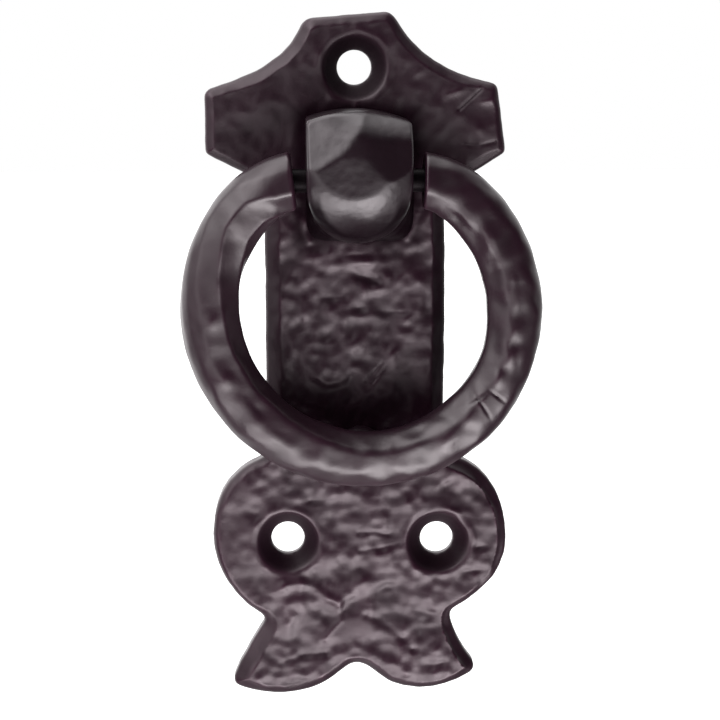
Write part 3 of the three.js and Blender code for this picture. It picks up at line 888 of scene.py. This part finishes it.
def strike_stud(material):
    centre = 0.5 * (STUD_LOW + STUD_HIGH)
    centre[1] = 0
    head = 0.5 * (STUD_HIGH[0] - STUD_LOW[0])
    crown = -STUD_LOW[1]
    base = PLATE_THICKNESS + 0.05
    rivet = [(3.3, 0.2), (3.6, 0.6), (2.3, 2.0), (2.3, base)]
    skirt = [(head * 0.97, base), (head, base + 0.3), (head, base + 0.7)]
    rise = crown - base - 0.7
    bends = np.linspace(0.05, 1.55, 26)
    dome = [(head * math.cos(a) ** 0.8, base + 0.7 + rise * math.sin(a)) for a in bends]
    points, faces = turned(rivet + skirt + dome, centre, (0, -1, 0), 80)
    relief = 0.14 * perlin(points, 1.5, 131) * smoothstep(-5.2, -6.5, points[:, 1])
    points[:, 1] += relief
    make_piece("stud_forging", points, faces, "plate", ["strike_stud"], material, relief)


# ---------------- materials

def node_tree(name):
    material = bpy.data.materials.new(name)
    material.use_nodes = True
    tree = material.node_tree
    return material, tree, tree.nodes["Principled BSDF"]


def link(tree, source, target):
    tree.links.new(source, target)


def math_node(tree, operation, *inputs):
    node = tree.nodes.new("ShaderNodeMath")
    node.operation = operation
    for socket, value in zip(node.inputs, inputs):
        if isinstance(value, (int, float)):
            socket.default_value = value
        else:
            link(tree, value, socket)
    return node.outputs["Value"]


def map_range(tree, value, from_min, from_max, to_min, to_max):
    node = tree.nodes.new("ShaderNodeMapRange")
    link(tree, value, node.inputs["Value"])
    node.inputs["From Min"].default_value = from_min
    node.inputs["From Max"].default_value = from_max
    node.inputs["To Min"].default_value = to_min
    node.inputs["To Max"].default_value = to_max
    return node.outputs["Result"]


def attribute(tree, name):
    node = tree.nodes.new("ShaderNodeAttribute")
    node.attribute_name = name
    return node.outputs["Fac"]


def noise_node(tree, scale, detail, stretch=(1, 1, 1)):
    place = tree.nodes.new("ShaderNodeTexCoord")
    mapping = tree.nodes.new("ShaderNodeMapping")
    mapping.inputs["Scale"].default_value = stretch
    node = tree.nodes.new("ShaderNodeTexNoise")
    node.inputs["Scale"].default_value = scale
    node.inputs["Detail"].default_value = detail
    link(tree, place.outputs["Object"], mapping.inputs["Vector"])
    link(tree, mapping.outputs["Vector"], node.inputs["Vector"])
    return node.outputs["Fac"]


def mix_colours(tree, factor, first, second):
    node = tree.nodes.new("ShaderNodeMix")
    node.data_type = "RGBA"
    for name, value in (("A", first), ("B", second)):
        if isinstance(value, tuple):
            node.inputs[name].default_value = (*value, 1)
        else:
            link(tree, value, node.inputs[name])
    link(tree, factor, node.inputs["Factor"])
    return node.outputs["Result"]


def bump(tree, shader, height, strength, distance):
    node = tree.nodes.new("ShaderNodeBump")
    node.inputs["Strength"].default_value = strength
    node.inputs["Distance"].default_value = distance
    link(tree, height, node.inputs["Height"])
    link(tree, node.outputs["Normal"], shader.inputs["Normal"])


def wear_and_highlight_share(tree, painted_shade):
    """How far the crisp edges are lightened, in patches and nowhere the painted shade lies: partly rubbed
    wear, partly painted highlight.
    """
    patches = map_range(tree, noise_node(tree, 900, 4), 0.3, 0.7, 0.25, 1)
    patchy = math_node(tree, "MULTIPLY", attribute(tree, "wear_and_highlight"), patches)
    return math_node(tree, "MULTIPLY", patchy, map_range(tree, painted_shade, 0, 0.8, 1, 0))


def iron(name, dark, light, smooth, rough, relief_span, gloss, sheen):
    """Blackened iron: dull and plum-dark in the hollows, lighter and smoother on lumps; its crisp edges
    lighter, partly rubbed wear and partly painted highlight; near-black and dull where painted shade lies.
    """
    material, tree, shader = node_tree(name)
    height = map_range(tree, attribute(tree, "relief"), -relief_span, relief_span, 0, 1)
    patches = noise_node(tree, 230, 5)
    raised = math_node(tree, "MULTIPLY_ADD", patches, 0.7, math_node(tree, "MULTIPLY", height, 0.45))
    painted_shade = attribute(tree, "painted_shade")
    worn_and_highlit = wear_and_highlight_share(tree, painted_shade)
    skin = mix_colours(tree, raised, dark, light)
    # The painted shade's colour, and the lighter colour of the crisp edges, partly wear and partly painted
    # highlight.
    painted_shade_colour, lightened = tuple(0.3 * c for c in dark), tuple(1.7 * c for c in light)
    skin = mix_colours(tree, math_node(tree, "MULTIPLY", painted_shade, 0.6), skin, painted_shade_colour)
    link(tree, mix_colours(tree, worn_and_highlit, skin, lightened), shader.inputs["Base Color"])
    dull = map_range(tree, raised, 0.25, 0.85, rough, smooth)
    link(tree, math_node(tree, "MULTIPLY_ADD", worn_and_highlit, -0.07, dull), shader.inputs["Roughness"])
    grain = math_node(tree, "MULTIPLY_ADD", noise_node(tree, 2600, 3), 0.5, noise_node(tree, 1100, 4))
    bump(tree, shader, grain, 0.12, 0.00014)
    shader.inputs["Metallic"].default_value = 0.0
    shader.inputs["IOR"].default_value = gloss
    shader.inputs["Specular Tint"].default_value = (*sheen, 1)
    # Painted shade also takes the gloss away.
    link(tree, map_range(tree, painted_shade, 0, 1, 0.5, 0.05), shader.inputs["Specular IOR Level"])
    return material


def steel(name):
    """Turned steel, blackened with the castings: the lathe's rings run round it."""
    material, tree, shader = node_tree(name)
    rings = noise_node(tree, 900, 3, stretch=(6, 0.4, 0.4))
    colour = mix_colours(tree, rings, (0.002, 0.001, 0.0015), (0.007, 0.0045, 0.006))
    link(tree, colour, shader.inputs["Base Color"])
    link(tree, map_range(tree, rings, 0.3, 0.7, 0.3, 0.45), shader.inputs["Roughness"])
    bump(tree, shader, rings, 0.2, 0.00008)
    shader.inputs["Metallic"].default_value = 0.0
    shader.inputs["Specular IOR Level"].default_value = 0.07
    shader.inputs["Specular Tint"].default_value = (1.0, 0.86, 0.93, 1)
    return material


# ---------------- studio and camera

# The soft boxes round the object, as the iron reflects them: turn to the right and height, in degrees, as
# seen from the object towards the viewer; angles from its middle at which each has faded out and is full, in
# degrees; and strength.
SOFT_BOXES = [
    # below, in front
    (30, -50, 28, 4, 2.7), (20, -25, 28, 4, 1.4), (-20, -25, 28, 4, 0.85), (60, -25, 28, 4, 0.3),
    (-90, -75, 28, 4, 0.3),
    # above and to the left
    (-60, 60, 28, 4, 2.2), (-70, 30, 28, 4, 1.65), (-35, 30, 28, 4, 0.8), (0, 90, 30, 5, 1.2),
    (-75, 0, 28, 4, 0.5), (-45, 0, 28, 4, 0.9), (180, 66, 28, 4, 1.3),
    # behind
    (180, 0, 45, 10, 1.3), (-135, 0, 45, 10, 1.4), (135, 0, 45, 10, 0.5),
    (-135, 45, 45, 10, 1.1), (135, 45, 45, 10, 0.45), (180, -45, 45, 10, 0.4), (-135, -45, 45, 10, 0.4),
]


def soft_box(tree, direction, box):
    """The strength of one soft box in each direction, as a round patch with a soft edge."""
    turn, height, faded, full, strength = box
    turn, height = math.radians(turn), math.radians(height)
    dot = tree.nodes.new("ShaderNodeVectorMath")
    dot.operation = "DOT_PRODUCT"
    link(tree, direction, dot.inputs[0])
    dot.inputs[1].default_value = (
        math.sin(turn) * math.cos(height),
        -math.cos(turn) * math.cos(height),
        math.sin(height),
    )
    edges = math.cos(math.radians(faded)), math.cos(math.radians(full))
    return map_range(tree, dot.outputs["Value"], *edges, 0, strength)


def white_background(nodes):
    node = nodes.new("ShaderNodeBackground")
    node.inputs["Color"].default_value = (1, 1, 1, 1)
    node.inputs["Strength"].default_value = 1.0
    return node


def studio_world():
    """White to the camera; the iron reflects the soft boxes and is dark between them."""
    world = bpy.data.worlds.new("studio")
    bpy.context.scene.world = world
    world.use_nodes = True
    tree = world.node_tree
    nodes = tree.nodes
    nodes.clear()
    direction = nodes.new("ShaderNodeTexCoord").outputs["Generated"]
    total = 0.0
    for box in SOFT_BOXES:
        total = math_node(tree, "ADD", total, soft_box(tree, direction, box))
    lit, seen = white_background(nodes), white_background(nodes)
    link(tree, total, lit.inputs["Strength"])
    path = nodes.new("ShaderNodeLightPath")
    choose = nodes.new("ShaderNodeMixShader")
    out = nodes.new("ShaderNodeOutputWorld")
    link(tree, path.outputs["Is Camera Ray"], choose.inputs["Fac"])
    link(tree, lit.outputs["Background"], choose.inputs[1])
    link(tree, seen.outputs["Background"], choose.inputs[2])
    link(tree, choose.outputs["Shader"], out.inputs["Surface"])


FLOOR_LEVEL, FLOOR_NEAR, FLOOR_FAR = -0.3, -0.45, 4.0


def pale_floor():
    material, _, shader = node_tree("pale_floor")
    shader.inputs["Base Color"].default_value = (0.6, 0.6, 0.6, 1)
    shader.inputs["Roughness"].default_value = 0.9
    shader.inputs["Specular IOR Level"].default_value = 0.0
    shader.inputs["Emission Color"].default_value = (1, 1, 1, 1)
    shader.inputs["Emission Strength"].default_value = 1.0
    near = [(-FLOOR_FAR, FLOOR_NEAR, FLOOR_LEVEL), (FLOOR_FAR, FLOOR_NEAR, FLOOR_LEVEL)]
    far = [(FLOOR_FAR, FLOOR_FAR, FLOOR_LEVEL), (-FLOOR_FAR, FLOOR_FAR, FLOOR_LEVEL)]
    mesh = bpy.data.meshes.new("floor")
    mesh.from_pydata(near + far, [], [(0, 1, 2, 3)])
    mesh.materials.append(material)
    floor = bpy.data.objects.new("floor", mesh)
    bpy.context.scene.collection.objects.link(floor)
    floor.visible_diffuse = floor.visible_glossy = floor.visible_shadow = False


# Small square area lights, at one distance from their targets: name, direction from the target, power in
# watts, and the height of the target.
LIGHT_DISTANCE, LIGHT_SIZE = 0.25, 0.15
AREA_LIGHTS = [
    ("front_below", (0, -0.7, -0.71), 0.23, -0.03),
    ("left_below", (-0.45, -0.54, -0.71), 0.23, -0.03),
    ("right_below", (0.45, -0.54, -0.71), 0.18, -0.03),
    ("top_left", (-0.54, -0.54, 0.64), 0.08, 0.02),
]


def area_light(name, direction, power, target_height):
    data = bpy.data.lights.new(name, "AREA")
    data.shape = "RECTANGLE"
    data.size = data.size_y = LIGHT_SIZE
    data.energy = power
    light = bpy.data.objects.new(name, data)
    bpy.context.scene.collection.objects.link(light)
    away = Vector(direction).normalized()
    light.location = Vector((0, 0, target_height)) + away * LIGHT_DISTANCE
    light.rotation_euler = away.to_track_quat("Z", "Y").to_euler()


AZIMUTH, ELEVATION = math.radians(-2.5), math.radians(10.5)
CAMERA_DISTANCE = 0.33
CAMERA_FOCAL = 93.2


def camera():
    data = bpy.data.cameras.new("camera")
    data.lens = CAMERA_FOCAL
    data.sensor_width = 36
    data.clip_start = 0.01
    view = bpy.data.objects.new("camera", data)
    bpy.context.scene.collection.objects.link(view)
    back = Vector((
        math.sin(AZIMUTH) * math.cos(ELEVATION),
        -math.cos(AZIMUTH) * math.cos(ELEVATION),
        math.sin(ELEVATION),
    ))
    target = Vector((0.9, -PLATE_THICKNESS, -1.5)) * MM
    view.location = target + back * CAMERA_DISTANCE
    view.rotation_euler = back.to_track_quat("Z", "Y").to_euler()
    bpy.context.scene.camera = view


camera()
bpy.context.scene.view_settings.view_transform = "Standard"
studio_world()
pale_floor()
for area in AREA_LIGHTS:
    area_light(*area)

# Colours of the iron in the hollows and on the lumps, and of what its gloss reflects.
HOLLOWS, LUMPS = (0.009, 0.0025, 0.006), (0.028, 0.009, 0.018)
LUG_HOLLOWS, LUG_LUMPS = (0.006, 0.0025, 0.0045), (0.018, 0.008, 0.013)
PLATE_SHEEN, LUG_SHEEN, RING_SHEEN = (1.0, 0.87, 0.92), (1.0, 0.93, 0.96), (1.0, 0.93, 0.95)
plate_iron = iron("hammered_iron", HOLLOWS, LUMPS, 0.33, 0.46, 0.4, gloss=1.62, sheen=PLATE_SHEEN)
lug_iron = iron("lug_iron", LUG_HOLLOWS, LUG_LUMPS, 0.27, 0.33, 0.3, gloss=1.73, sheen=LUG_SHEEN)
ring_iron = iron("ring_iron", HOLLOWS, LUMPS, 0.3, 0.4, 0.4, gloss=1.75, sheen=RING_SHEEN)
pin_steel = steel("pin_steel")

backplate(plate_iron)
hinge_lug(lug_iron)
knocker_ring(ring_iron)
pivot_pin(pin_steel)
strike_stud(lug_iron)
